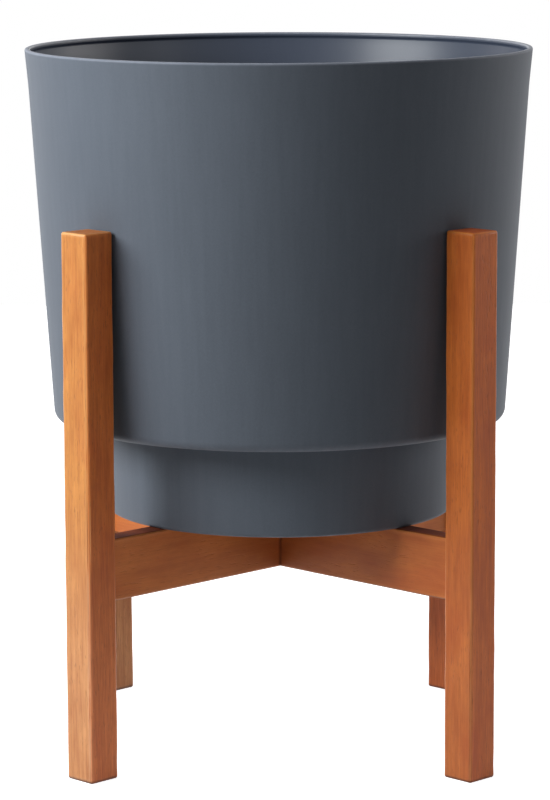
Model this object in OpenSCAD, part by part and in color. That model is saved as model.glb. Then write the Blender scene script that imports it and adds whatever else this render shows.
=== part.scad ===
// Planter on a four-legged wooden stand. A stepped, tapered pot drops between four square legs
// and sits on two rails that cross in a half lap. Millimetres, +Z up. The origin is on the floor,
// under the middle of the crossing. The legs stand on the diagonals, edge on to the front (-Y).

/* [Pot] */
// Outer diameter at the rim
rim_d = 312; // [290:1:340]
// Height of the pot, from its foot ring to the rim
pot_h = 286; // [250:1:330]
// Thickness of the pot's walls
pot_wall = 2.4; // [2:0.1:4.5]
// Thickness of the rim
rim_w = 3.4; // [3:0.2:6]
// Radius on both edges of the rim
rim_round = 1.2; // [0.4:0.1:1.4]
// Height of the bead along the inside of the rim
bead_h = 2.4; // [2:0.1:4]
// How far that bead stands in from the wall below it
bead_in = 0.9; // [0.4:0.1:1.2]
// Height of the band under the rim that flares out
flare_h = 22; // [10:1:40]
// How far the rim stands out from the foot of that band
flare_w = 2.1; // [1.1:0.1:5]
// Taper of the body, in degrees from upright
body_taper = 3.8; // [2:0.1:5]
// Radius along the lower edge of the body
step_round = 6; // [4:0.5:12]

/* [Foot of the pot] */
// Height of the narrower foot, up to the step
foot_h = 57; // [40:1:80]
// Width of the step between the body and the foot
step_w = 30; // [20:1:40]
// Taper of the foot, in degrees from upright
foot_taper = 2; // [0.5:0.25:4]
// Radius along the lower edge of the foot
foot_round = 2.5; // [1:0.25:4]
// Radius where the foot meets the step
neck_round = 2; // [1:0.25:5]
// Width of the ring that the pot stands on
ring_w = 8; // [6:0.5:14]
// Height of the floor's underside above that ring
recess_h = 5; // [3:0.5:8]
// Thickness of the floor
floor_t = 3.5; // [2.5:0.25:6]

/* [Drain plug] */
// Diameter of the plug's stem
stem_d = 22; // [14:1:34]
// Clearance around the stem, on the radius
stem_gap = 0.1; // [0.05:0.05:0.1]
// How far the stem reaches below the floor
stem_out = 2; // [0.5:0.5:2.5]
// How far the flange reaches past the drain hole
flange_w = 6; // [3:0.5:12]
// Thickness of the flange
flange_t = 3; // [2:0.5:5]
// Width of the finger tab
tab_w = 16; // [8:1:20]
// Thickness of the finger tab
tab_t = 4; // [2.5:0.5:7]
// Height of the finger tab above the flange
tab_h = 11; // [10:0.5:20]

/* [Stand] */
// Side of each square leg
leg_w = 22; // [18:1:32]
// Height of the legs
leg_h = 331; // [260:1:370]
// Gap between the pot and each leg, at the leg's top
leg_gap = 0.5; // [0.4:0.1:6]
// Height of the rails' top, where the pot sits
seat_z = 146; // [110:1:180]
// Height of each rail
rail_h = 38; // [32:1:56]
// Thickness of each rail
rail_t = 14; // [12:0.5:18]
// Radius on the edges of the legs
leg_ease = 1.5; // [0.5:0.25:3]
// Radius on the edges of the rails
rail_ease = 1.2; // [0.4:0.2:2.4]
// Clearance on each side of the half lap
lap_gap = 0.1; // [0.05:0.05:0.4]

/* [Dowels and screw] */
// Diameter of the dowels
dowel_d = 6; // [5:0.5:8]
// Length of the dowels, half in the leg and half in the rail
dowel_l = 30; // [20:1:32]
// Distance between the two dowels of a joint
dowel_pitch = 18; // [12:1:20]
// Clearance around each dowel, on the radius
dowel_gap = 0.05; // [0.05:0.05:0.2]
// Clearance past each end of a dowel
dowel_relief = 1; // [0.5:0.25:1.5]
// Diameter of the screw under the crossing
screw_d = 4.5; // [3:0.5:6]
// Length of the screw, head and point included
screw_l = 31; // [24:1:31]
// Diameter of the screw's head
head_d = 9; // [8:0.5:11]
// How far the head is sunk below the wood
head_sink = 0.5; // [0.25:0.25:1.5]
// Clearance around the screw, on the radius
screw_gap = 0.05; // [0.05:0.05:0.2]

/* [Colours] */
// Moulded plastic of the pot
pot_colour = [0.31, 0.33, 0.38];
// Finished wood of the legs
leg_colour = [0.67, 0.38, 0.18];
// Finished wood of the rails
rail_colour = [0.58, 0.32, 0.15];
// Bare wood of the dowels
dowel_colour = [0.82, 0.66, 0.45];
// Rubber of the drain plug
plug_colour = [0.12, 0.12, 0.13];
// Plated steel of the screw
screw_colour = [0.72, 0.72, 0.7];

/* [Hidden] */
// Where each leg stands, in the order of its arm's turn about the middle
CORNERS = ["rear_right", "rear_left", "front_left", "front_right"];
// The two dowels of each joint
LEVELS = ["lower", "upper"];
$fn = 96;

// Steps in one rounded corner of an outline
arc_steps = 6;
// Extra length for cutting tools, so that no face is shared
over = 1;
// Radius on the small edges of the pot's ring and of the plug
small_round = 1;
// Radius that softens the corner where the body turns into the flared band
flare_blend = 80;
// Radius on the bead's lower edge and in the hollow below it, as parts of how far it stands in
bead_edge = 0.8;
bead_hollow = 2.2;
// Length of the cross in the screw's head, as a part of the head's diameter
cross_reach = 0.55;
// Depth of that cross, as a part of the head's height
cross_depth = 0.7;
// Turn of the first arm, and from each arm to the next
first_turn = 45;
next_turn = 90;

rim_r = rim_d / 2;
flare_r = rim_r - flare_w;
body_cone_h = pot_h - foot_h - flare_h;
body_r = flare_r - body_cone_h * tan(body_taper);
foot_top_r = body_r - step_w;
foot_r = foot_top_r - foot_h * tan(foot_taper);
drain_r = stem_d / 2 + stem_gap;
floor_top = recess_h + floor_t;

// Radius of the pot's outside at a height above its foot ring
function body_r_at(h) = body_r + (h - foot_h) * tan(body_taper);

// Distance from the middle to the inner face of each leg
arm_l = body_r_at(leg_h - seat_z) + leg_gap;
lap_z = seat_z - rail_h / 2;
rail_z = seat_z - rail_h;
screw_tip = rail_z + head_sink + screw_l;
head_h = (head_d - screw_d) / 2;

// Points of one outline corner, rounded where its third number is over 0
function corner_points(before, corner, after) =
    let (
        p = [corner[0], corner[1]],
        a = [before[0], before[1]] - p,
        b = [after[0], after[1]] - p,
        u = a / norm(a),
        v = b / norm(b),
        half = acos(u * v) / 2,
        reach = corner[2] / tan(half),
        middle = u + v,
        centre = p + middle / norm(middle) * corner[2] / sin(half),
        first = p + u * reach - centre,
        sweep = 180 - 2 * half,
        side = cross(first, p + v * reach - centre) > 0 ? 1 : -1
    )
    corner[2] == 0 ? [p] : [
        for (i = [0:arc_steps])
            let (turn = side * sweep * i / arc_steps)
            centre + [
                first[0] * cos(turn) - first[1] * sin(turn),
                first[0] * sin(turn) + first[1] * cos(turn)
            ]
    ];

// An outline from corners given as [x, y, rounding radius]
function rounded(corners) =
    let (n = len(corners))
    [
        for (i = [0:n - 1])
            each corner_points(corners[(i + n - 1) % n], corners[i], corners[(i + 1) % n])
    ];

// A bar along X from x0 to x1, centred on Y, from z0 to z1, with its four long edges eased
module eased_bar(x0, x1, width, z0, z1, ease) {
    half = width / 2;
    translate([x0, 0, 0])
        rotate([90, 0, 90])
            linear_extrude(x1 - x0)
                polygon(rounded([
                    [-half, z0, ease],
                    [half, z0, ease],
                    [half, z1, ease],
                    [-half, z1, ease]
                ]));
}

// Turns a piece that lies along +X onto the arm of one corner
module arm(i) {
    rotate([0, 0, first_turn + next_turn * i])
        children();
}

// The two dowels of a joint, or their holes when given a clearance and a relief
module dowel_shape(level, gap, relief) {
    height = lap_z + (level - 1 / 2) * dowel_pitch;
    translate([arm_l - dowel_l / 2 - relief, 0, height])
        rotate([0, 90, 0])
            cylinder(d = dowel_d + 2 * gap, h = dowel_l + 2 * relief);
}

module dowel_holes() {
    for (level = [0, 1])
        dowel_shape(level, dowel_gap, dowel_relief);
}

// The pot's wall, turned about the axis
module pot() {
    bead_r = rim_r - rim_w;
    inner_flare_r = flare_r - pot_wall;
    inner_body_r = body_r + pot_wall * tan(body_taper) - pot_wall;
    outline = rounded([
        [drain_r, recess_h, 0],
        [foot_r - ring_w, recess_h, small_round],
        [foot_r - ring_w, 0, small_round],
        [foot_r, 0, foot_round],
        [foot_top_r, foot_h, neck_round],
        [body_r, foot_h, step_round],
        [flare_r, pot_h - flare_h, flare_blend],
        [rim_r, pot_h, rim_round],
        [bead_r, pot_h, rim_round],
        [bead_r, pot_h - bead_h, bead_in * bead_edge],
        [bead_r + bead_in, pot_h - bead_h - bead_in, bead_in * bead_hollow],
        [inner_flare_r, pot_h - flare_h, flare_blend],
        [inner_body_r, foot_h + pot_wall, max(step_round - pot_wall, small_round)],
        [foot_top_r - pot_wall, foot_h + pot_wall, neck_round + pot_wall],
        [foot_r - pot_wall, floor_top, foot_round],
        [drain_r, floor_top, 0]
    ]);
    color(pot_colour)
        translate([0, 0, seat_z])
            rotate_extrude()
                polygon(outline);
}

// A soft plug that is pushed in from above: its flange lies on the pot's floor
module drain_plug() {
    flange_r = drain_r + flange_w;
    stem_r = stem_d / 2;
    stem_z = recess_h - stem_out;
    flange_top = floor_top + flange_t;
    tab_round = tab_w / 2;
    tab_z = flange_top + tab_h - tab_round;
    color(plug_colour)
        translate([0, 0, seat_z]) {
            rotate_extrude()
                polygon(rounded([
                    [0, stem_z, 0],
                    [stem_r, stem_z, small_round],
                    [stem_r, floor_top, 0],
                    [flange_r, floor_top, 0],
                    [flange_r, flange_top, small_round],
                    [0, flange_top, 0]
                ]));
            translate([-tab_w / 2, -tab_t / 2, flange_top - over])
                cube([tab_w, tab_t, tab_z - flange_top + over]);
            translate([0, tab_t / 2, tab_z])
                rotate([90, 0, 0])
                    cylinder(r = tab_round, h = tab_t);
        }
}

// A square leg with all its edges eased, drilled for its two dowels
module leg(i) {
    mid = arm_l + leg_w / 2;
    half = leg_w / 2;
    color(leg_colour)
        arm(i)
            difference() {
                intersection() {
                    translate([mid, 0, 0])
                        linear_extrude(leg_h)
                            polygon(rounded([
                                [-half, -half, leg_ease],
                                [half, -half, leg_ease],
                                [half, half, leg_ease],
                                [-half, half, leg_ease]
                            ]));
                    eased_bar(arm_l, arm_l + leg_w, leg_w, 0, leg_h, leg_ease);
                    translate([mid, 0, 0])
                        rotate([0, 0, 90])
                            eased_bar(-half, half, leg_w, 0, leg_h, leg_ease);
                }
                dowel_holes();
            }
}

// A rail from leg to leg along one diagonal, before its half lap is cut
module rail_blank() {
    difference() {
        eased_bar(-arm_l, arm_l, rail_t, rail_z, seat_z, rail_ease);
        dowel_holes();
        rotate([0, 0, 180])
            dowel_holes();
    }
}

// What one rail leaves free for the other, from height z0 to z1
module lap_cut(z0, z1) {
    width = rail_t + 2 * lap_gap;
    translate([-width / 2, -rail_t, z0])
        cube([width, 2 * rail_t, z1 - z0]);
}

// The screw under the crossing, or its hole when given a clearance
module screw_shape(gap) {
    radius = screw_d / 2 + gap;
    bottom = rail_z + head_sink;
    point_h = screw_d;
    rotate_extrude()
        polygon([
            [0, bottom - (gap > 0 ? head_sink + over : 0)],
            [head_d / 2 + gap, bottom - (gap > 0 ? head_sink + over : 0)],
            [head_d / 2 + gap, bottom],
            [radius, bottom + head_h],
            [radius, screw_tip - point_h],
            [gap, screw_tip],
            [0, screw_tip + gap]
        ]);
}

module rail_lower() {
    color(rail_colour)
        arm(0)
            difference() {
                rail_blank();
                lap_cut(lap_z, seat_z + over);
                screw_shape(screw_gap);
            }
}

module rail_upper() {
    color(rail_colour)
        arm(1)
            difference() {
                rail_blank();
                lap_cut(rail_z - over, lap_z);
                screw_shape(screw_gap);
            }
}

module lap_screw() {
    slot_w = screw_d / 4;
    slot_l = head_d * cross_reach;
    slot_h = head_h * cross_depth;
    color(screw_colour)
        difference() {
            screw_shape(0);
            for (turn = [0, next_turn])
                rotate([0, 0, turn])
                    translate([-slot_l / 2, -slot_w / 2, rail_z + head_sink - over])
                        cube([slot_l, slot_w, slot_h + over]);
        }
}

module dowel(i, level) {
    color(dowel_colour)
        arm(i)
            dowel_shape(level, 0, 0);
}

pot();
drain_plug();
rail_lower();
rail_upper();
lap_screw();
for (i = [0:3]) {
    leg(i);
    for (level = [0, 1])
        dowel(i, level);
}
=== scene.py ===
"""Planter on a wooden stand: dresses the packed frame with its finished pot, legs and rails.

Lengths are metres. The stand's arms lie on the diagonals, and the front of the planter faces -Y.
"""

import math

import bmesh
import bpy
from mathutils import Matrix, Vector, noise


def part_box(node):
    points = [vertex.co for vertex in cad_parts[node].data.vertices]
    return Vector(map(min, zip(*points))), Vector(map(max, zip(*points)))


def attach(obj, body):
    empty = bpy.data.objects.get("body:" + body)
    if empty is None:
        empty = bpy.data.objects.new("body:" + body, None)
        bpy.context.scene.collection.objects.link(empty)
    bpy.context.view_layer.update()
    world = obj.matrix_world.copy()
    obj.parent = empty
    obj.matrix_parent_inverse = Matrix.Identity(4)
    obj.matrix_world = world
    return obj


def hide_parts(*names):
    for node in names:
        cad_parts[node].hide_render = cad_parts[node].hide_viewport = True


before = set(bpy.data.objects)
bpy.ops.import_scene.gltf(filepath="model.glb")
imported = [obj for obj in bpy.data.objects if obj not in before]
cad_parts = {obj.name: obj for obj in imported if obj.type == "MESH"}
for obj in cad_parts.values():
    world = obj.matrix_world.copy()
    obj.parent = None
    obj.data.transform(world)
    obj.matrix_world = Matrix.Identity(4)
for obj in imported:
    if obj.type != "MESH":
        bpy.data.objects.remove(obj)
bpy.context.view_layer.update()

bl_info = {
    "name": "Planter on a wooden stand",
    "version": (1, 0, 0),
    "blender": (4, 5, 0),
    "location": "3D View > Sidebar > Planter",
    "description": "Builds a tapered pot with its drain plug on a four-legged wooden stand",
    "category": "Add Mesh",
}

MM = 0.001
TOUCHING = 0.001 * MM  # points closer than this are taken as one
SHARP = math.radians(34)  # an edge between faces at a larger angle shows as a sharp one
CORNERS = ("rear_right", "rear_left", "front_left", "front_right")  # by their angle from +X
DIAGONAL = math.sqrt(0.5)  # how far one unit along a rail goes along X, and along Y
ALONG, UP = Vector((1, 0, 0)), Vector((0, 0, 1))
POT_LOW, POT_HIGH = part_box("pot")


# ---------------------------------------------------------------- sizes and colours


def length(name, description, default):
    """A size in metres that a user may change."""
    return bpy.props.FloatProperty(
        name=name, description=description, default=default, min=0, precision=4, unit="LENGTH"
    )


def angle(name, description, degrees):
    """An angle that a user may change."""
    return bpy.props.FloatProperty(
        name=name, description=description, default=math.radians(degrees), subtype="ANGLE"
    )


def share(name, description, default):
    """A share from 0 to 1 that a user may change."""
    return bpy.props.FloatProperty(
        name=name, description=description, default=default, min=0, max=1, subtype="FACTOR"
    )


def colour(name, description, default, most=1):
    """A linear colour, or with most over 1 a tint to multiply one by, that a user may change."""
    return bpy.props.FloatVectorProperty(
        name=name,
        description=description,
        default=default,
        min=0,
        max=most,
        size=3,
        subtype="COLOR",
    )


class PlanterPotSettings(bpy.types.PropertyGroup):
    """Sizes and colours of the pot and of its drain plug."""

    base: length("Foot ring height", "Height of the pot's foot ring over the floor", POT_LOW.z)
    height: length("Height", "From the foot ring to the rim", POT_HIGH.z - POT_LOW.z)
    rim_diameter: length("Rim diameter", "Outer diameter at the rim", 311.88 * MM)
    wall: length("Wall", "Thickness of the walls", 2.4 * MM)
    rim_width: length("Rim width", "Thickness of the rim", 3.4 * MM)
    rim_round: length("Rim rounding", "Radius on both edges of the rim", 1.2 * MM)
    bead_height: length("Bead height", "Height of the bead along the inside of the rim", 2.4 * MM)
    bead_width: length("Bead width", "How far that bead stands in from the wall below", 0.9 * MM)
    flare_height: length("Flare height", "Height of the flared band under the rim", 22 * MM)
    flare_width: length("Flare width", "How far the rim stands out from that band's foot", 2.1 * MM)
    body_taper: angle("Body taper", "Slope of the body, from upright", 3.8)
    step_round: length("Step rounding", "Radius along the body's lower edge", 6 * MM)
    foot_height: length("Foot height", "Height of the narrower foot", 57 * MM)
    step_width: length("Step width", "Width of the step between body and foot", 30 * MM)
    foot_taper: angle("Foot taper", "Slope of the foot, from upright", 2)
    foot_round: length("Foot rounding", "Radius along the foot's lower edge", 2.5 * MM)
    neck_round: length("Neck rounding", "Radius where the foot meets the step", 2 * MM)
    ring_width: length("Ring width", "Width of the ring that the pot stands on", 8 * MM)
    recess: length("Recess", "Height of the floor's underside over the ring", 5 * MM)
    floor: length("Floor", "Thickness of the floor", 3.5 * MM)
    stem_diameter: length("Plug stem", "Diameter of the drain plug's stem", 22 * MM)
    stem_gap: length("Plug clearance", "Clearance around the stem, on the radius", 0.1 * MM)
    stem_below: length("Stem below floor", "How far the stem reaches below the floor", 2 * MM)
    flange_width: length("Plug flange width", "How far the flange reaches past the hole", 6 * MM)
    flange_height: length("Plug flange height", "Thickness of the flange", 3 * MM)
    tab_width: length("Tab width", "Width of the plug's finger tab", 16 * MM)
    tab_thickness: length("Tab thickness", "Thickness of the finger tab", 4 * MM)
    tab_height: length("Tab height", "Height of the finger tab", 11 * MM)
    small_round: length("Small rounding", "Radius on the ring's and the plug's edges", 1 * MM)
    plastic: colour("Plastic", "Moulded plastic of the pot", (0.099, 0.113, 0.137))
    # Painted shade: the plastic's colour inside the pot, darkened for the shade that falls in it.
    shaded_inner_plastic: colour("Inner plastic", "Plastic inside the pot", (0.033, 0.045, 0.077))
    # Also the colour of the painted highlight on the rim and the step.
    plastic_worn_and_highlight: colour("Rubbed plastic", "Where hands and shelves rub it", (0.23, 0.25, 0.3))
    rubber: colour("Rubber", "Rubber of the drain plug", (0.028, 0.028, 0.03))


class PlanterStandSettings(bpy.types.PropertyGroup):
    """Sizes and colours of the wooden stand."""

    leg_width: length("Leg width", "Side of each square leg", 22 * MM)
    leg_height: length("Leg height", "Height of the legs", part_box("leg_front_left")[1].z)
    leg_ease: length("Leg easing", "Radius on the edges of the legs", 1.5 * MM)
    rail_height: length("Rail height", "Height of each rail", 38 * MM)
    rail_thickness: length("Rail thickness", "Thickness of each rail", 14 * MM)
    rail_ease: length("Rail easing", "Radius on the edges of the rails", 1.2 * MM)
    seat: length("Seat height", "Height of the rails' top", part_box("rail_lower")[1].z)
    arm: length("Arm", "From the middle to each leg's inner face", 149.153 * MM)
    lap_gap: length("Lap clearance", "Clearance on each side of the half lap", 0.1 * MM)
    screw_head: length("Screw head", "Diameter of the screw's head", 9.1 * MM)
    screw_shank: length("Screw hole", "Diameter of the hole for the screw", 4.6 * MM)
    head_sink: length("Head depth", "How far the screw's head is sunk", 0.5 * MM)
    dowel_diameter: length("Dowel diameter", "Diameter of the dowels", 6 * MM)
    dowel_length: length("Dowel length", "Length of the dowels", 30 * MM)
    wood_light: colour("Light wood", "Lightest tone of the stained wood", (0.73, 0.277, 0.063))
    wood_dark: colour("Dark wood", "Darkest tone of the stained wood", (0.4, 0.108, 0.02))
    # Painted light and shade: these tints give each leg face the light or shade that falls on it.
    left_outer: colour(
        "Left legs, outwards", "Tint of their faces to and from the pot", (0.88, 0.97, 1.04), 2
    )
    left_sides: colour(
        "Left legs, sideways", "Tint of their other two faces", (1.08, 0.78, 0.64), 2
    )
    right_outer: colour(
        "Right legs, outwards", "Tint of their faces to and from the pot", (1.04, 0.66, 0.42), 2
    )
    right_sides: colour(
        "Right legs, sideways", "Tint of their other two faces", (0.75, 0.52, 0.32), 2
    )
    # Painted floor bounce: light from the white floor, painted as a paler, bluer tint towards the
    # feet.
    painted_floor_bounce: colour("Faded feet", "Tint of the legs towards the floor", (1.1, 1.25, 2.1), 3)
    lower_rail: colour("Lower rail", "Tint of the lower rail's board", (1.07, 0.9, 0.95), 2)
    upper_rail: colour("Upper rail", "Tint of the upper rail's board", (0.82, 0.63, 0.59), 2)
    # Painted shade: darkens the rails' tops, which lie in the pot's shade.
    painted_shade_tops: colour("Damp tops", "Tint of the rails' tops, under the pot", (0.56, 0.35, 0.13), 2)
    # Also the colour that the wood's painted shade darkens towards.
    wood_pore: colour("Pores", "Stain held in the pores", (0.1, 0.025, 0.008))
    # Also the colour of the painted highlight along the wood's edges.
    wood_rubbed_and_highlight: colour("Rubbed wood", "Stain rubbed thin along the edges", (0.85, 0.41, 0.14))
    wood_bare: colour("Bare wood", "Unstained wood of the dowels", (0.66, 0.46, 0.25))
    screw_plate: colour("Screw plating", "Plating of the screw", (0.62, 0.61, 0.57))


class PlanterStageSettings(bpy.types.PropertyGroup):
    """Camera, floor and light."""

    camera_distance: length("Camera distance", "From the planter's axis to the camera", 2.1578)
    camera_height: length("Camera height", "Height of the camera over the floor", 0.5649)
    camera_pitch: angle("Camera pitch", "How far the camera looks down", 9.289)
    camera_yaw: angle("Camera yaw", "How far the camera looks to the left", 0.0795)
    camera_roll: angle("Camera roll", "Tilt of the camera to its right", -0.2)
    camera_lens: bpy.props.FloatProperty(
        name="Lens", description="Focal length in millimetres", default=157.54, min=1
    )
    floor_tone: share("Floor tone", "How light the floor is", 0.7)
    light_level: bpy.props.FloatProperty(
        name="Light level", description="Strength of all lamps together", default=1, min=0
    )


# ---------------------------------------------------------------- shaping


def whole(bm):
    """Everything in a mesh, for an operator."""
    return bm.verts[:] + bm.edges[:] + bm.faces[:]


def lies_at(part, axis, place):
    """Whether all of an edge or face is at one place along the axis "x", "y" or "z"."""
    return all(abs(getattr(v.co, axis) - place) < TOUCHING for v in part.verts)


def only(kind, made):
    """The elements of one kind, such as BMVert, among those that an extrusion made."""
    return [g for g in made["geom"] if isinstance(g, getattr(bmesh.types, kind))]


def round_off(bm, geom, offset, segments, affect="EDGES"):
    """Rounds edges, or with affect="VERTICES" the corners of an outline."""
    bmesh.ops.bevel(
        bm,
        geom=geom,
        offset=offset,
        offset_type="OFFSET",
        segments=segments,
        profile=0.5,
        affect=affect,
        clamp_overlap=affect == "EDGES",
        material=-1,
    )


def section(corners, longest):
    """A closed outline in the XZ plane from corners (x, z, rounding), with no edge over longest."""
    bm = bmesh.new()
    verts = [bm.verts.new((x, 0, z)) for x, z, _ in corners]
    for first, second in zip(verts, verts[1:] + verts[:1]):
        bm.edges.new((first, second))
    for i, (x, z, rounding) in enumerate(corners):
        if not rounding:
            continue
        before = Vector(corners[i - 1][:2]) - Vector((x, z))
        after = Vector(corners[(i + 1) % len(corners)][:2]) - Vector((x, z))
        offset = rounding / math.tan(before.angle(after) / 2)
        round_off(bm, [verts[i]], offset, segments=10, affect="VERTICES")
    for edge in [e for e in bm.edges if e.calc_length() > longest]:
        bmesh.ops.subdivide_edges(bm, edges=[edge], cuts=int(edge.calc_length() / longest))
    return bm


def turn(bm, steps):
    """Turns an outline once round the Z axis into a closed skin that faces outwards."""
    bmesh.ops.spin(
        bm,
        geom=bm.verts[:] + bm.edges[:],
        cent=(0, 0, 0),
        axis=(0, 0, 1),
        dvec=(0, 0, 0),
        angle=2 * math.pi,
        steps=steps,
        use_merge=True,
        use_duplicate=False,
    )
    bmesh.ops.remove_doubles(bm, verts=bm.verts[:], dist=TOUCHING)
    bmesh.ops.recalc_face_normals(bm, faces=bm.faces[:])


def saw(bm, geom, place, across):
    """Cuts these elements in two, in the plane through place and across a direction."""
    bmesh.ops.bisect_plane(bm, geom=geom, dist=TOUCHING / 10, plane_co=place, plane_no=across)


def slice_along(bm, axis, stations):
    """Cuts a bar across its axis at each station, so that its edges can wander a little."""
    for station in stations:
        saw(bm, whole(bm), axis * station, axis)


def stations(low, high, pitch):
    """Evenly spaced stations strictly between two ends."""
    count = max(1, round((high - low) / pitch))
    return [low + (high - low) * i / count for i in range(1, count)]


def to_corner(number):
    """Turns +X to one of the CORNERS."""
    return Matrix.Rotation(math.radians(45 + 90 * number), 3, "Z")


def hand_ease(bm, centre, half, axis, depth, seed):
    """Sands the long edges of a bar unevenly: points on its roundings move towards its middle line.

    centre is a point of the middle line, half holds the half sizes across it, depth is how deep
    the sanding goes at most, and seed gives each bar its own wear.
    """
    rounding, flat = 0.86, 0.9999  # where these start, as shares of the half size
    waves, ripples = 38, 110  # lumps a metre along the bar
    across = [i for i in range(3) if not axis[i]]
    for v in bm.verts:
        offset = [v.co[i] - centre[i] for i in across]
        reach = [abs(o) / h for o, h in zip(offset, half)]
        if min(reach) < rounding or max(reach) > flat:
            continue
        along = v.co.dot(axis)
        edge = Vector([0.7 if o > 0 else 0.2 for o in offset] + [0]) * 11  # keeps edges unalike
        wander = noise.noise(Vector((along * waves, seed * 7.3, 0)) + edge)
        wander += 0.5 * noise.noise(Vector((along * ripples, seed * 3.1, 4)) + edge)
        amount = depth * min(1, max(0, 0.45 + 0.75 * wander))
        for i, o in zip(across, offset):
            v.co[i] -= math.copysign(amount, o)


def pot_radii(size):
    """The pot's outer radii: rim, under the flare, body and foot at the step, foot at the ring."""
    rim = size.rim_diameter / 2
    flare = rim - size.flare_width
    rise = size.height - size.foot_height - size.flare_height
    body = flare - rise * math.tan(size.body_taper)
    neck = body - size.step_width
    return rim, flare, body, neck, neck - size.foot_height * math.tan(size.foot_taper)


def piece(name, bm, finish, body, replaced):
    """Makes a bmesh into a finished piece that rides on its body in place of a CAD node."""
    mesh = bpy.data.meshes.new(name)
    for face in bm.faces:
        face.smooth = True
    bm.normal_update()
    bm.to_mesh(mesh)
    bm.free()
    mesh.set_sharp_from_angle(angle=SHARP)
    mesh.materials.append(finish)
    made = bpy.data.objects.new(name, mesh)
    bpy.context.scene.collection.objects.link(made)
    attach(made, body)
    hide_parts(replaced)
    return made


def flat_faces_stay_flat(mesh_object, narrow):
    """Shades the wide flats of a bar flat, and only its roundings smooth."""
    for face in mesh_object.data.polygons:
        lengths = [
            (mesh_object.data.vertices[a].co - mesh_object.data.vertices[b].co).length
            for a, b in face.edge_keys
        ]
        face.use_smooth = min(lengths) < narrow


# ---------------------------------------------------------------- shader maths


class Wire:
    """One output socket of a graph. Sums on it add Math nodes, so that masks read as formulas."""

    def __init__(self, graph, socket):
        self.graph = graph
        self.socket = socket

    def maths(self, operation, first, second=0.0):
        return self.graph.node("Math", {"operation": operation}, {0: first, 1: second})

    def __add__(self, other):
        return self.maths("ADD", self, other)

    def __sub__(self, other):
        return self.maths("SUBTRACT", self, other)

    def __rsub__(self, other):
        return self.maths("SUBTRACT", other, self)

    def __mul__(self, other):
        return self.maths("MULTIPLY", self, other)

    def __abs__(self):
        return self.maths("ABSOLUTE", self)

    def __pow__(self, other):
        return self.maths("POWER", self, other)

    __radd__ = __add__
    __rmul__ = __mul__

    def least(self, other):
        return self.maths("MINIMUM", self, other)

    def most(self, other):
        return self.maths("MAXIMUM", self, other)

    def rise(self, low, high):
        """0 up to low, then smoothly to 1 at high."""
        return self.graph.node(
            "MapRange", {"interpolation_type": "SMOOTHSTEP"}, {0: self, 1: low, 2: high, 3: 0, 4: 1}
        )


class Graph:
    """The nodes of a material or world, built from nothing."""

    def __init__(self, owner):
        owner.use_nodes = True
        self.tree = owner.node_tree
        self.tree.nodes.clear()

    def node(self, kind, settings, sockets, output=0):
        """Adds a node: its settings come first, then the values or links of its sockets."""
        made = self.tree.nodes.new("ShaderNode" + kind)
        for setting, value in settings.items():
            setattr(made, setting, value)
        for key, value in sockets.items():
            if isinstance(value, Wire):
                self.tree.links.new(value.socket, made.inputs[key])
            else:
                made.inputs[key].default_value = value
        return Wire(self, made.outputs[output]) if made.outputs else None

    def seen(self):
        """1 for what the camera sees, straight or in metal and glass, and 0 for the light."""
        rays = self.node("LightPath", {}, {}).socket.node
        kinds = ("Camera", "Glossy", "Transmission")
        camera, glossy, clear = [Wire(self, rays.outputs[f"Is {kind} Ray"]) for kind in kinds]
        return camera.most(glossy).most(clear)


class Finish(Graph):
    """A material under construction, on one Principled shader.

    x, y and z are the place on the piece in metres, and facing is the way its surface faces.
    """

    def __init__(self, name, **constants):
        self.material = bpy.data.materials.new(name)
        super().__init__(self.material)
        values = {socket.replace("_", " "): value for socket, value in constants.items()}
        surface = self.node("BsdfPrincipled", {}, values)
        self.shader = surface.socket.node
        self.node("OutputMaterial", {}, {"Surface": surface})
        coordinates = self.node("TexCoord", {}, {}).socket.node
        self.facing = Wire(self, coordinates.outputs["Normal"])
        self.x, self.y, self.z = self.split(Wire(self, coordinates.outputs["Object"]))

    def split(self, vector):
        made = self.node("SeparateXYZ", {}, {0: vector}).socket.node
        return [Wire(self, made.outputs[i]) for i in range(3)]

    def vector(self, x, y, z):
        return self.node("CombineXYZ", {}, {0: x, 1: y, 2: z})

    def lumps(self, x, y, z):
        """The place, scaled for a noise with so many lumps a metre along each axis."""
        return self.vector(self.x * x, self.y * y, self.z * z)

    def noise(self, vector, detail, roughness, distortion=0.0):
        """A noise from about 0 to 1, one unit of the vector to a lump."""
        return self.node(
            "TexNoise",
            {"noise_dimensions": "3D"},
            {
                "Vector": vector,
                "Scale": 1.0,
                "Detail": detail,
                "Roughness": roughness,
                "Distortion": distortion,
            },
        )

    def mix(self, factor, first, second, blend="MIX"):
        """A colour from two colours."""
        tones = [c if isinstance(c, Wire) else (*c, 1) for c in (first, second)]
        return self.node(
            "Mix",
            {"data_type": "RGBA", "blend_type": blend, "clamp_factor": True},
            {0: factor, 6: tones[0], 7: tones[1]},
            output=2,
        )

    def feed(self, socket, wire):
        self.tree.links.new(wire.socket, self.shader.inputs[socket])

    def relief(self, height, depth):
        """A Bump whose height of 1 stands depth proud."""
        bump = self.node("Bump", {}, {"Strength": 1.0, "Distance": depth, "Height": height})
        self.feed("Normal", bump)


def nearest_edge(first, second, third):
    """How far a point of a box's surface is from the nearest edge: the middle one of its depths."""
    return first.least(second).most(first.most(second).least(third))


# ---------------------------------------------------------------- finishes


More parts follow.
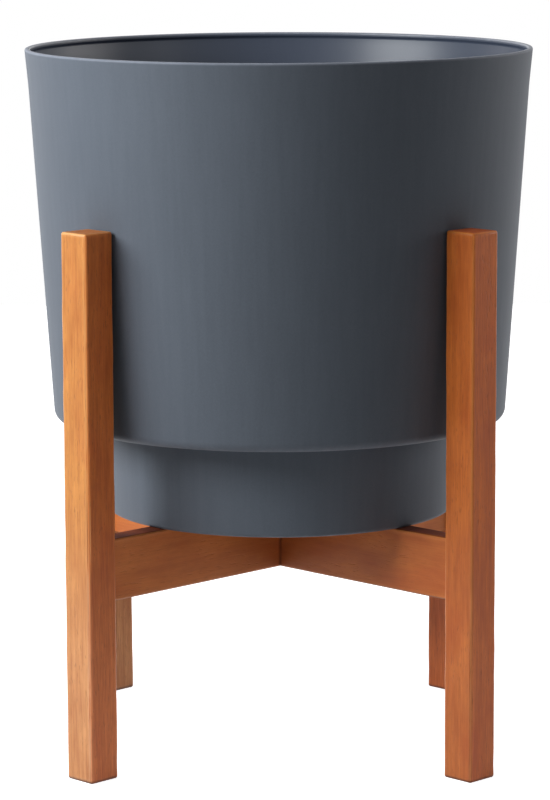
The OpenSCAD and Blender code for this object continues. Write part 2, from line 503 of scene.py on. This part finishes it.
def plastic_finish(size):
    """Satin moulded plastic: cloudy pigment, a fine eggshell skin, rubbed along rim, step and ring,
    with a painted highlight along the rim and the step's edge.

    The inside of the wall is smoother from the mould, so it is glossier, and painted shade makes it
    darker.
    """
    finish = Finish("Pot plastic", IOR=1.46, Specular_IOR_Level=0.1, Coat_Roughness=0.34)
    x, y, z = finish.x, finish.y, finish.z
    cloud = finish.noise(finish.lumps(14, 14, 9), 4, 0.55)
    streak = finish.noise(finish.lumps(240, 240, 11), 3, 0.6)
    grain = finish.noise(finish.lumps(900, 900, 900), 2, 0.6)
    tone = 0.5 + (cloud - 0.5) * 0.55 + (streak - 0.5) * 0.9 + (grain - 0.5) * 0.9
    light = [c * 1.1 for c in size.plastic]
    dark = [c * 0.9 for c in size.plastic]
    nx, ny, _ = finish.split(finish.facing)
    outwards = nx * x + ny * y  # the radius where a face looks outwards, and minus it inside
    inside = outwards.rise(-30 * MM, -120 * MM)
    pigment = finish.mix(tone, dark, light)
    # painted shade: the inside of the pot is darkened where shade falls in it
    pigment = finish.mix(inside * 0.8, pigment, size.shaded_inner_plastic)
    # painted highlight: the rim's top band is lightened as if it caught the light, over real
    # rubbing
    rim_wear_and_highlight = (z - (size.base + size.height)).rise(-1.8 * MM, -0.3 * MM)
    body = pot_radii(size)[2]
    # the step's lower edge: scuffs and a painted highlight
    at_step = abs(z - (size.base + size.foot_height)).rise(5 * MM, 0.5 * MM)
    step = at_step * ((x * x + y * y) ** 0.5).rise(body - 12 * MM, body - 1 * MM)
    ring = (z - size.base).rise(3 * MM, 0)
    scuff = finish.noise(finish.lumps(160, 160, 300), 5, 0.7).rise(0.42, 0.72)
    rubbed = rim_wear_and_highlight * (0.7 + scuff * 0.3) + step * (0.09 + scuff * 0.19) + ring * scuff * 0.3
    finish.feed("Base Color", finish.mix(rubbed, pigment, size.plastic_worn_and_highlight))
    finish.feed("Roughness", 0.5 + (cloud - 0.5) * 0.12 + (grain - 0.5) * 0.1 - rubbed * 0.08)
    finish.feed("Coat Weight", inside * (0.75 + (cloud - 0.5) * 0.3))
    skin = finish.noise(finish.lumps(1500, 1500, 1500), 2, 0.5)
    waves = finish.noise(finish.lumps(60, 60, 60), 2, 0.5)
    finish.relief(skin * 0.35 + grain * 0.4 + waves * 0.8, 0.035 * MM)
    return finish.material


def rubber_finish(size):
    """Soft dull rubber with a little dust."""
    finish = Finish("Plug rubber", IOR=1.5)
    fine = finish.noise(finish.lumps(1400, 1400, 1400), 3, 0.6)
    dust = finish.noise(finish.lumps(90, 90, 90), 5, 0.65).rise(0.45, 0.75)
    base = list(size.rubber)
    dusty = [c * 2.2 + 0.02 for c in base]
    finish.feed("Base Color", finish.mix(dust * 0.35 + fine * 0.15, base, dusty))
    finish.feed("Roughness", 0.68 + dust * 0.14 + (fine - 0.5) * 0.1)
    finish.relief(fine, 0.05 * MM)
    return finish.material


def wood_finish(name, size, turned, edge_depth, end_grain, painted_shade_of, tint, figure):
    """Stained wood with its grain along one axis.

    turned gives the coordinates (across, across, along) of the finish, edge_depth its distance to
    the nearest edge, end_grain how squarely the grain is cut, from 0 to 1, the function after it
    where painted shade darkens it, and tint the colour that its stain is multiplied by, which holds
    painted light and shade too. figure is how strongly the grain shows.
    """
    finish = Finish(name, IOR=1.48, Specular_IOR_Level=0.3)
    across, up, along = turned(finish)
    wander = finish.noise(finish.vector(across * 30, up * 30, along * 9), 2, 0.5)
    bend = (wander - 0.5) * 2.2
    bands = finish.noise(finish.vector(across * 330 + bend, up * 330 + bend, along * 9), 3, 0.55)
    fibres = finish.noise(finish.vector(across * 1300, up * 1300, along * 55), 3, 0.6, 0.2)
    mottle = finish.noise(finish.vector(across * 60, up * 60, along * 26), 4, 0.6)
    flecks = finish.noise(finish.vector(across * 1100, up * 1100, along * 190), 2, 0.5)
    pores = flecks.rise(0.56, 0.72) * mottle.rise(0.36, 0.56)
    light, dark = size.wood_light, size.wood_dark
    grain = (bands - 0.5) * 1.3 + (fibres - 0.5) * 1.5
    tone = 0.5 + grain * figure + (mottle - 0.5) * 1.2
    cut = end_grain(finish)
    ground = finish.mix(tone, dark, light)
    patches = finish.noise(finish.vector(across * 38 + 5.2, up * 38, along * 14), 3, 0.55)
    reddish = [dark[0] * 1.25, dark[1] * 1.05, dark[2] * 1.15]
    ground = finish.mix(patches.rise(0.5, 0.68) * 0.3, ground, reddish)
    ground = finish.mix(cut * 0.75, ground, dark)
    stained = finish.mix(pores * (0.45 * figure), ground, size.wood_pore)
    depth = edge_depth(finish)
    sanded = finish.noise(finish.vector(across * 260, up * 260, along * 70), 4, 0.6)
    worn = 1 - (depth + (sanded - 0.5) * 1.2 * MM).rise(0.6 * MM, 3.2 * MM)
    # painted highlight: a narrow band on each edge is lightened as if it caught the light; the
    # wider band is stain rubbed thin
    painted_edge_highlight = 1 - (depth + (sanded - 0.5) * 0.5 * MM).rise(0.4 * MM, 1.2 * MM)
    stained = finish.mix(worn * 0.3 + painted_edge_highlight * 0.6, stained, size.wood_rubbed_and_highlight)
    # painted shade: the piece is darkened towards the pores' colour where shade falls on it
    painted_shade = painted_shade_of(finish, sanded)
    stained = finish.mix(painted_shade, stained, size.wood_pore)
    finish.feed("Base Color", finish.mix(1.0, stained, tint(finish), "MULTIPLY"))
    dull = pores * 0.14 + cut * 0.12 + painted_shade * 0.3 - worn * 0.05
    finish.feed("Roughness", 0.42 + (fibres - 0.5) * 0.3 + dull)
    finish.relief(fibres * 0.7 + bands * 0.3 - pores * 1.1, 0.09 * MM)
    return finish.material


def leg_finish(size):
    """The legs' wood, grain upright, with painted light and shade on its faces and towards the
    feet.
    """
    half = size.leg_width / 2
    middle = size.arm + half
    bounce_full_below, bounce_gone_above = 60 * MM, 190 * MM

    def turned(finish):
        return finish.x, finish.y, finish.z

    def edge_depth(finish):
        first = abs(finish.x + finish.y) * DIAGONAL
        second = abs(finish.x - finish.y) * DIAGONAL
        radial = half - abs(first.most(second) - middle)
        lateral = half - first.least(second)
        return nearest_edge(radial, lateral, finish.z.least(size.leg_height - finish.z))

    def end_grain(finish):
        return abs(finish.split(finish.facing)[2]).rise(0.6, 0.9)

    # Painted contact shade: each leg darkens along its bottom, where it stands on the floor.
    def painted_shade_of(finish, sanded):
        return (1 - (finish.z + (sanded - 0.5) * 1.6 * MM).rise(0.5 * MM, 2.8 * MM)) * 0.9

    def tint(finish):
        # Painted light and shade: board tints each leg face by how light falls on it, darkest in
        # the pot's shadow.
        nx, ny, _ = finish.split(finish.facing)
        sideways = abs(nx * finish.y - ny * finish.x).rise(40 * MM, 120 * MM)
        left = finish.mix(sideways, size.left_outer, size.left_sides)
        right = finish.mix(sideways, size.right_outer, size.right_sides)
        board = finish.mix(finish.x.rise(-10 * MM, 10 * MM), left, right)
        # painted floor bounce: the legs grow paler and bluer towards the floor
        floor_bounce = 1 - finish.z.rise(bounce_full_below, bounce_gone_above)
        return finish.mix(floor_bounce, board, size.painted_floor_bounce, "MULTIPLY")

    return wood_finish("Leg wood", size, turned, edge_depth, end_grain, painted_shade_of, tint, 0.7)


def rail_finish(name, size, sign):
    """A rail's wood, with its grain along its diagonal: X = Y for a sign of 1, X = -Y for -1."""
    half = size.rail_thickness / 2
    underside = size.seat - size.rail_height
    # The pot's painted shadow on the rails' tops fades out between these two distances.
    pot_edge, shadow_end = 112 * MM, 130 * MM  # how far these are from the middle, along a rail

    def diagonals(finish):
        along = (finish.x + finish.y * sign) * DIAGONAL
        side = (finish.x - finish.y * sign) * DIAGONAL
        return along, side

    def turned(finish):
        along, side = diagonals(finish)
        return side + 0.31 * sign, finish.z, along

    def edge_depth(finish):
        along, side = diagonals(finish)
        upright = (finish.z - underside).least(size.seat - finish.z)
        return nearest_edge(half - abs(side), upright, size.arm - abs(along))

    def end_grain(finish):
        nx, ny, _ = finish.split(finish.facing)
        return abs((nx + ny * sign) * DIAGONAL).rise(0.6, 0.9)

    # Painted shade: under the pot's foot near the crossing, in the crease where the rails meet,
    # along the bottom edges, on the tops and in the pot's shadow.
    def painted_shade_of(finish, sanded):
        along, _ = diagonals(finish)
        middle = (1 - abs(finish.x).rise(2 * MM, 48 * MM)) * (0.26 + sanded * 0.16)
        crease_shade = 1 - abs(finish.x).rise(0.2 * MM, 2.4 * MM)
        under = 1 - (finish.z - underside).rise(0.3 * MM, 1.6 * MM)
        near = 1 - abs(along).rise(pot_edge, shadow_end)
        pot_shadow = (finish.z - size.seat).rise(-1 * MM, 0) * near
        top = finish.split(finish.facing)[2].rise(0.6, 0.95) * 0.3
        return middle.most(crease_shade * 0.75).most(under * 0.6).most(pot_shadow * 0.85).most(top)

    def tint(finish):
        board = size.lower_rail if sign > 0 else size.upper_rail
        # painted shade: the rails' tops are darkened where the pot shades them
        upward = finish.split(finish.facing)[2].rise(0.6, 0.95)
        return finish.mix(upward, board, [b * d for b, d in zip(board, size.painted_shade_tops)])

    return wood_finish(name, size, turned, edge_depth, end_grain, painted_shade_of, tint, 0.32)


def dowel_finish(size):
    """Pale unstained wood for the dowels."""
    finish = Finish("Dowel wood", IOR=1.46)
    fibres = finish.noise(finish.lumps(300, 300, 2400), 3, 0.6)
    bare = list(size.wood_bare)
    finish.feed("Base Color", finish.mix(fibres, [c * 0.8 for c in bare], bare))
    finish.feed("Roughness", 0.62 + (fibres - 0.5) * 0.2)
    finish.relief(fibres, 0.06 * MM)
    return finish.material


def screw_finish(size):
    """Bright plated steel, a little uneven from the bath."""
    finish = Finish("Screw steel", Metallic=1.0, IOR=1.5)
    bath = finish.noise(finish.lumps(420, 420, 420), 4, 0.6)
    fine = finish.noise(finish.lumps(2600, 2600, 2600), 2, 0.5)
    plate = list(size.screw_plate)
    finish.feed("Base Color", finish.mix(bath, [c * 0.8 for c in plate], plate))
    finish.feed("Roughness", 0.26 + bath * 0.18 + fine * 0.08)
    finish.relief(fine, 0.02 * MM)
    return finish.material


# ---------------------------------------------------------------- operators


class PLANTER_OT_pot(bpy.types.Operator):
    """Turn the pot: foot ring, foot, step, tapered body, flared band and rim in one thin wall"""

    bl_idname = "planter.pot"
    bl_label = "Pot"

    def execute(self, context):
        size = context.scene.planter_pot
        rim, flare, body, neck, foot = pot_radii(size)
        hole = size.stem_diameter / 2 + size.stem_gap
        floor_top = size.recess + size.floor
        wall = size.wall
        inner_body = body + wall * math.tan(size.body_taper) - wall
        flare_foot = size.height - size.flare_height
        blend = 80 * MM  # radius of the soft bend between body and flare
        bead, under = rim - size.rim_width, size.height - size.bead_height
        corners = [
            (hole, size.recess, 0),
            (foot - size.ring_width, size.recess, size.small_round),
            (foot - size.ring_width, 0, size.small_round),
            (foot, 0, size.foot_round),
            (neck, size.foot_height, size.neck_round),
            (body, size.foot_height, size.step_round),
            (flare, flare_foot, blend),
            (rim, size.height, size.rim_round),
            (bead, size.height, size.rim_round),
            (bead, under, size.bead_width * 0.8),
            (bead + size.bead_width, under - size.bead_width, size.bead_width * 2.2),
            (flare - wall, flare_foot, blend),
            (inner_body, size.foot_height + wall, max(size.step_round - wall, size.small_round)),
            (neck - wall, size.foot_height + wall, size.neck_round + wall),
            (foot - wall, floor_top, size.foot_round),
            (hole, floor_top, 0),
        ]
        bm = section(corners, longest=5 * MM)
        turn(bm, steps=240)
        bmesh.ops.translate(bm, verts=bm.verts[:], vec=(0, 0, size.base))
        piece("pot_shell", bm, plastic_finish(size), "planter", "pot")
        return {"FINISHED"}


class PLANTER_OT_drain_plug(bpy.types.Operator):
    """Make the rubber plug: a stem, a flange that lies on the pot's floor, and a finger tab"""

    bl_idname = "planter.drain_plug"
    bl_label = "Drain plug"

    def execute(self, context):
        size = context.scene.planter_pot
        stem = size.stem_diameter / 2
        flange = stem + size.stem_gap + size.flange_width
        floor_top = size.recess + size.floor
        top = floor_top + size.flange_height
        low = size.recess - size.stem_below
        edge = size.small_round
        corners = [
            (0, low, 0),
            (stem, low, edge),
            (stem, floor_top, 0),
            (flange, floor_top, 0),
            (flange, top, edge),
            (0, top, 0),
        ]
        bm = section(corners, longest=4 * MM)
        on_the_axis = [e for e in bm.edges if lies_at(e, "x", 0)]
        bmesh.ops.delete(bm, geom=on_the_axis, context="EDGES")
        turn(bm, steps=72)
        self.add_tab(bm, size, top)
        bmesh.ops.translate(bm, verts=bm.verts[:], vec=(0, 0, size.base))
        piece("drain_plug_rubber", bm, rubber_finish(size), "plug", "drain_plug")
        return {"FINISHED"}

    def add_tab(self, bm, size, top):
        """Adds the tab, a round-topped plate that stands on the flange, with softened edges."""
        rounding = size.tab_width / 2
        crown = top + size.tab_height - rounding
        tab = bmesh.new()
        bmesh.ops.create_circle(tab, cap_ends=True, segments=48, radius=rounding)
        bmesh.ops.rotate(tab, verts=tab.verts[:], matrix=Matrix.Rotation(math.pi / 2, 3, "X"))
        bmesh.ops.bisect_plane(
            tab,
            geom=whole(tab),
            dist=TOUCHING,
            plane_co=(0, 0, 0),
            plane_no=UP,
            clear_inner=True,
        )
        foot = [e for e in tab.edges if lies_at(e, "z", 0)]
        low = only("BMVert", bmesh.ops.extrude_edge_only(tab, edges=foot))
        sunk = 0.3 * MM  # into the flange
        bmesh.ops.translate(tab, verts=low, vec=(0, 0, top - crown - sunk))
        bmesh.ops.dissolve_faces(tab, faces=tab.faces[:])
        bmesh.ops.translate(tab, verts=tab.verts[:], vec=(0, -size.tab_thickness / 2, crown))
        far = only("BMVert", bmesh.ops.extrude_face_region(tab, geom=tab.faces[:]))
        bmesh.ops.translate(tab, verts=far, vec=(0, size.tab_thickness, 0))
        bmesh.ops.recalc_face_normals(tab, faces=tab.faces[:])
        rims = [
            e
            for e in tab.edges
            if lies_at(e, "y", e.verts[0].co.y) and max(v.co.z for v in e.verts) > top
        ]
        round_off(tab, rims, size.small_round, segments=4)
        mesh = bpy.data.meshes.new("tab")
        tab.to_mesh(mesh)
        tab.free()
        bm.from_mesh(mesh)
        bpy.data.meshes.remove(mesh)


class PLANTER_OT_legs(bpy.types.Operator):
    """Make the four square legs, with their long edges eased by hand"""

    bl_idname = "planter.legs"
    bl_label = "Legs"

    def execute(self, context):
        size = context.scene.planter_stand
        finish = leg_finish(size)
        width, height = size.leg_width, size.leg_height
        middle = Vector((size.arm + width / 2, 0, height / 2))
        for i, corner in enumerate(CORNERS):
            bm = bmesh.new()
            bmesh.ops.create_cube(bm, size=1)
            bmesh.ops.scale(bm, verts=bm.verts[:], vec=(width, width, height))
            bmesh.ops.translate(bm, verts=bm.verts[:], vec=middle)
            round_off(bm, bm.edges[:], size.leg_ease, segments=6)
            low, high = size.leg_ease * 2, height - size.leg_ease * 2
            slice_along(bm, UP, stations(low, high, 4 * MM))
            hand_ease(bm, middle, (width / 2, width / 2), UP, depth=0.28 * MM, seed=i + 1)
            bmesh.ops.rotate(bm, verts=bm.verts[:], cent=(0, 0, 0), matrix=to_corner(i))
            name = "leg_" + corner
            made = piece(name + "_bar", bm, finish, "stand", name)
            flat_faces_stay_flat(made, size.leg_ease / 2)
        return {"FINISHED"}


class PLANTER_OT_rails(bpy.types.Operator):
    """Make the two rails that cross in a half lap, with the screw's countersink in the lower one"""

    bl_idname = "planter.rails"
    bl_label = "Rails"

    def execute(self, context):
        size = context.scene.planter_stand
        for i, name in enumerate(("rail_lower", "rail_upper")):
            upper = name == "rail_upper"
            sign = -1 if upper else 1
            bm = self.bar(size, upper)
            if not upper:
                self.countersink(bm, size)
            reach = size.arm - size.rail_ease * 2
            cuts = stations(size.rail_thickness, reach, 5 * MM)
            slice_along(bm, ALONG, cuts + [-c for c in cuts])
            centre = Vector((0, 0, size.seat - size.rail_height / 2))
            half = (size.rail_thickness / 2, size.rail_height / 2)
            hand_ease(bm, centre, half, ALONG, depth=0.2 * MM, seed=5 + sign)
            bmesh.ops.rotate(bm, verts=bm.verts[:], cent=(0, 0, 0), matrix=to_corner(i))
            finish = rail_finish(name.replace("_", " ").capitalize() + " wood", size, sign)
            made = piece(name + "_bar", bm, finish, "stand", name)
            flat_faces_stay_flat(made, size.rail_ease / 2)
        return {"FINISHED"}

    def bar(self, size, upper):
        """Half a rail, drawn out in full to the lap and half as high from there, and mirrored."""
        half, lap = size.rail_thickness / 2, size.rail_thickness / 2 + size.lap_gap
        middle = size.seat - size.rail_height / 2
        bm = bmesh.new()
        bmesh.ops.create_grid(bm, x_segments=1, y_segments=1, size=1)
        bmesh.ops.rotate(bm, verts=bm.verts[:], matrix=Matrix.Rotation(math.pi / 2, 3, "Y"))
        bmesh.ops.scale(bm, verts=bm.verts[:], vec=(1, half, size.rail_height / 2))
        bmesh.ops.translate(bm, verts=bm.verts[:], vec=(size.arm, 0, middle))
        round_off(bm, bm.verts[:], size.rail_ease, segments=6, affect="VERTICES")
        self.draw_out(bm, bm.faces[:], lap - size.arm)
        cap = [f for f in bm.faces if lies_at(f, "x", lap)]
        outline = dict.fromkeys(part for f in cap for part in (*f.edges, *f.verts))
        saw(bm, [*cap, *outline], (0, 0, middle), UP)
        kept = [
            f
            for f in bm.faces
            if lies_at(f, "x", lap) and (f.calc_center_median().z > middle) == upper
        ]
        self.draw_out(bm, kept, -lap)
        bmesh.ops.delete(bm, geom=kept, context="FACES_ONLY")  # it would stay as a wall inside
        ends = [f for f in bm.faces if lies_at(f, "x", 0)]
        bmesh.ops.delete(bm, geom=ends, context="FACES")
        bmesh.ops.mirror(bm, geom=whole(bm), axis="X", merge_dist=TOUCHING)
        bmesh.ops.recalc_face_normals(bm, faces=bm.faces[:])
        seam = [e for e in bm.edges if lies_at(e, "x", 0)]
        bmesh.ops.dissolve_edges(bm, edges=seam, use_verts=True)
        return bm

    def draw_out(self, bm, faces, distance):
        """Extrudes faces along X. The faces themselves stay where they were."""
        moved = only("BMVert", bmesh.ops.extrude_face_region(bm, geom=faces))
        bmesh.ops.translate(bm, verts=moved, vec=(distance, 0, 0))

    def countersink(self, bm, size):
        """Opens the underside of the lap for the screw's head and closes the hole in the wood."""
        low = size.seat - size.rail_height
        under = [
            f
            for f in bm.faces
            if f.normal.z < -0.999
            and abs(f.calc_center_median().x) < 0.1 * MM
            and abs(f.calc_center_median().z - low) < 0.01 * MM
        ]
        border = list(dict.fromkeys(e for f in under for e in f.edges))
        bmesh.ops.delete(bm, geom=under, context="FACES_ONLY")
        head = size.screw_head / 2
        ring = bmesh.ops.create_circle(bm, cap_ends=False, segments=48, radius=head)["verts"]
        bmesh.ops.translate(bm, verts=ring, vec=(0, 0, low))
        round_edges = list(dict.fromkeys(e for v in ring for e in v.link_edges))
        bmesh.ops.triangle_fill(bm, use_beauty=True, edges=border + round_edges)
        shank = size.screw_shank / 2
        hole_end = size.rail_height / 2 - 0.5 * MM  # just under the other rail
        for height, radius in (
            (size.head_sink, head),
            (size.head_sink + head - shank, shank),
            (hole_end, shank),
        ):
            grown = bmesh.ops.extrude_edge_only(bm, edges=round_edges)
            ring, round_edges = only("BMVert", grown), only("BMEdge", grown)
            factor = radius / Vector(ring[0].co[:2]).length
            bmesh.ops.scale(bm, verts=ring, vec=(factor, factor, 1))
            bmesh.ops.translate(bm, verts=ring, vec=(0, 0, low + height - ring[0].co.z))
        bmesh.ops.contextual_create(bm, geom=round_edges)
        bmesh.ops.recalc_face_normals(bm, faces=bm.faces[:])


class PLANTER_OT_dowels(bpy.types.Operator):
    """Make the fluted dowels that pin the rails to the legs"""

    bl_idname = "planter.dowels"
    bl_label = "Dowels"

    def execute(self, context):
        size = context.scene.planter_stand
        finish = dowel_finish(size)
        for i, corner in enumerate(CORNERS):
            lay = to_corner(i) @ Matrix.Rotation(math.pi / 2, 3, "Y")
            for level in ("lower", "upper"):
                name = f"dowel_{corner}_{level}"
                low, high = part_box(name)
                bm = self.pin(size)
                bmesh.ops.rotate(bm, verts=bm.verts[:], cent=(0, 0, 0), matrix=lay)
                bmesh.ops.translate(bm, verts=bm.verts[:], vec=(low + high) / 2)
                piece(name + "_pin", bm, finish, "stand", name)
        return {"FINISHED"}

    def pin(self, size):
        """An upright dowel around the middle: a fluted outline, drawn up with tapered ends."""
        groove, tip = 0.93, 0.8  # their radii, as shares of those of a ridge and of the body
        chamfer = 1 * MM
        bm = bmesh.new()
        ring = bmesh.ops.create_circle(
            bm, cap_ends=True, segments=40, radius=size.dowel_diameter / 2
        )["verts"]
        bmesh.ops.scale(bm, verts=ring[::2], vec=(groove, groove, 1))
        bmesh.ops.scale(bm, verts=ring, vec=(tip, tip, 1))
        body = size.dowel_length - 2 * chamfer
        for rise, factor in ((chamfer, 1 / tip), (body, 1), (chamfer, tip)):
            top = max(bm.faces, key=lambda f: f.calc_center_median().z)
            is_lower_end = len(bm.faces) == 1
            ring = only("BMVert", bmesh.ops.extrude_face_region(bm, geom=[top]))
            if not is_lower_end:  # any other face would stay as a wall inside
                bmesh.ops.delete(bm, geom=[top], context="FACES_ONLY")
            bmesh.ops.translate(bm, verts=ring, vec=(0, 0, rise))
            bmesh.ops.scale(bm, verts=ring, vec=(factor, factor, 1))
        bmesh.ops.recalc_face_normals(bm, faces=bm.faces[:])
        bmesh.ops.translate(bm, verts=bm.verts[:], vec=(0, 0, -size.dowel_length / 2))
        return bm


class PLANTER_OT_lap_screw(bpy.types.Operator):
    """Give the screw under the crossing its plated finish"""

    bl_idname = "planter.lap_screw"
    bl_label = "Lap screw"

    def execute(self, context):
        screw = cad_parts["lap_screw"]
        finish = screw_finish(context.scene.planter_stand)
        for slot in screw.material_slots:
            slot.material = finish
        return {"FINISHED"}


LAMP_AIM = Vector((0, 0, 0.24))  # a little over the planter's middle
LAMPS = (
    # name, azimuth and elevation in degrees, distance, width, height, watts, colour
    ("key", -66, 28, 1.15, 0.75, 0.55, 17.2, (0.97, 1, 1.01)),
    ("top", 0, 88, 1.8, 1, 1, 5, (1, 1, 1)),
    ("left_rear", -132, 12, 2.1, 0.8, 0.8, 3.2, (1.05, 0.99, 0.96)),
    ("front_right", 60, 16, 2.1, 0.6, 0.6, 1.5, (1, 1, 1)),
    ("right", 107, 12, 2.1, 1.2, 0.7, 8.8, (1.05, 1, 0.98)),
    ("right_rear", 128, 10, 2.1, 0.8, 0.7, 2.3, (1, 1, 1)),
)


class PLANTER_OT_stage(bpy.types.Operator):
    """Lay the pale floor, hang the soft lamps and stand the camera at the front"""

    bl_idname = "planter.stage"
    bl_label = "Stage"

    def execute(self, context):
        scene = context.scene
        stage = scene.planter_stage
        scene.view_settings.view_transform = "Standard"
        self.floor(scene, stage)
        self.card(scene)
        self.surroundings(scene)
        for name, *placing, watts, tint in LAMPS:
            self.lamp(scene, name, placing, watts * stage.light_level, tint)
        self.camera(scene, stage)
        return {"FINISHED"}

    def sheet(self, scene, name, finish, half, behind=0):
        """Adds a square of twice half a side that lies on the floor, or stands so far behind."""
        bm = bmesh.new()
        bmesh.ops.create_grid(bm, x_segments=1, y_segments=1, size=half)
        if behind:
            upright = Matrix.Rotation(math.pi / 2, 3, "X")
            bmesh.ops.rotate(bm, verts=bm.verts[:], matrix=upright)
            bmesh.ops.translate(bm, verts=bm.verts[:], vec=(0, behind, half))
        mesh = bpy.data.meshes.new(name)
        bm.to_mesh(mesh)
        bm.free()
        mesh.materials.append(finish.material)
        made = bpy.data.objects.new(name, mesh)
        scene.collection.objects.link(made)
        return made

    def floor(self, scene, stage):
        """Lays the floor: pale in the lamps' light, and white to the camera and in reflections."""
        finish = Finish("Stage floor", Roughness=0.9, Emission_Strength=0.92)
        mottle = finish.noise(finish.vector(finish.x * 40, finish.y * 40, 0), 4, 0.6)
        tone = stage.floor_tone
        finish.feed("Base Color", finish.mix(mottle, [tone * 0.98] * 3, [tone] * 3))
        finish.feed("Emission Color", finish.seen())
        finish.material.cycles.emission_sampling = "NONE"
        floor = self.sheet(scene, "stage_floor", finish, half=4)

    def card(self, scene):
        """Stands a glowing white card behind the planter, which also rims its edges with light."""
        finish = Finish(
            "Stage card",
            Base_Color=(0, 0, 0, 1),
            Specular_IOR_Level=0,
            Emission_Color=(1, 1, 1, 1),
            Emission_Strength=1,
        )
        card = self.sheet(scene, "stage_card", finish, half=0.9, behind=2)

    def surroundings(self, scene):
        """A world that is white to the camera and in reflections, and gives no light."""
        world = bpy.data.worlds.new("Stage world")
        scene.world = world
        graph = Graph(world)
        sky = graph.node("Background", {}, {"Color": graph.seen(), "Strength": 1})
        graph.node("OutputWorld", {}, {"Surface": sky})
        world.cycles.sampling_method = "NONE"

    def lamp(self, scene, name, placing, watts, tint):
        """Hangs a rectangular soft lamp that faces the planter."""
        azimuth, elevation, distance, width, height = placing
        data = bpy.data.lights.new(name, "AREA")
        data.shape = "RECTANGLE"
        data.size, data.size_y = width, height
        data.energy = watts
        data.color = tint
        lamp = bpy.data.objects.new(name, data)
        scene.collection.objects.link(lamp)
        around, rise = math.radians(azimuth), math.radians(elevation)
        level = math.cos(rise)
        out = Vector((math.sin(around) * level, -math.cos(around) * level, math.sin(rise)))
        lamp.location = LAMP_AIM + out * distance
        lamp.rotation_euler = out.to_track_quat("Z", "Y").to_euler()

    def camera(self, scene, stage):
        """Stands the camera in front, where the photograph was taken from."""
        data = bpy.data.cameras.new("camera")
        data.sensor_width = 36
        data.lens = stage.camera_lens
        camera = bpy.data.objects.new("camera", data)
        scene.collection.objects.link(camera)
        camera.matrix_world = (
            Matrix.Translation((0, -stage.camera_distance, stage.camera_height))
            @ Matrix.Rotation(stage.camera_yaw, 4, "Z")
            @ Matrix.Rotation(math.pi / 2 - stage.camera_pitch, 4, "X")
            @ Matrix.Rotation(stage.camera_roll, 4, "Z")
        )
        scene.camera = camera


OPERATORS = (
    PLANTER_OT_pot,
    PLANTER_OT_drain_plug,
    PLANTER_OT_legs,
    PLANTER_OT_rails,
    PLANTER_OT_dowels,
    PLANTER_OT_lap_screw,
    PLANTER_OT_stage,
)
SETTINGS = {
    "planter_pot": PlanterPotSettings,
    "planter_stand": PlanterStandSettings,
    "planter_stage": PlanterStageSettings,
}


class PLANTER_PT_pieces(bpy.types.Panel):
    """The planter's pieces, with their sizes and colours"""

    bl_idname = "PLANTER_PT_pieces"
    bl_label = "Planter"
    bl_space_type = "VIEW_3D"
    bl_region_type = "UI"
    bl_category = "Planter"

    def draw(self, context):
        for operator in OPERATORS:
            self.layout.operator(operator.bl_idname)
        for group, settings in SETTINGS.items():
            box = self.layout.box()
            box.label(text=settings.__doc__)
            for name in settings.__annotations__:
                box.prop(getattr(context.scene, group), name)


def register():
    for cls in (*SETTINGS.values(), *OPERATORS, PLANTER_PT_pieces):
        bpy.utils.register_class(cls)
    for group, settings in SETTINGS.items():
        setattr(bpy.types.Scene, group, bpy.props.PointerProperty(type=settings))


def unregister():
    for group in SETTINGS:
        delattr(bpy.types.Scene, group)
    for cls in reversed((*SETTINGS.values(), *OPERATORS, PLANTER_PT_pieces)):
        bpy.utils.unregister_class(cls)


def main():
    register()
    bpy.ops.planter.pot()
    bpy.ops.planter.drain_plug()
    bpy.ops.planter.legs()
    bpy.ops.planter.rails()
    bpy.ops.planter.dowels()
    bpy.ops.planter.lap_screw()
    bpy.ops.planter.stage()


if __name__ == "__main__":
    main()
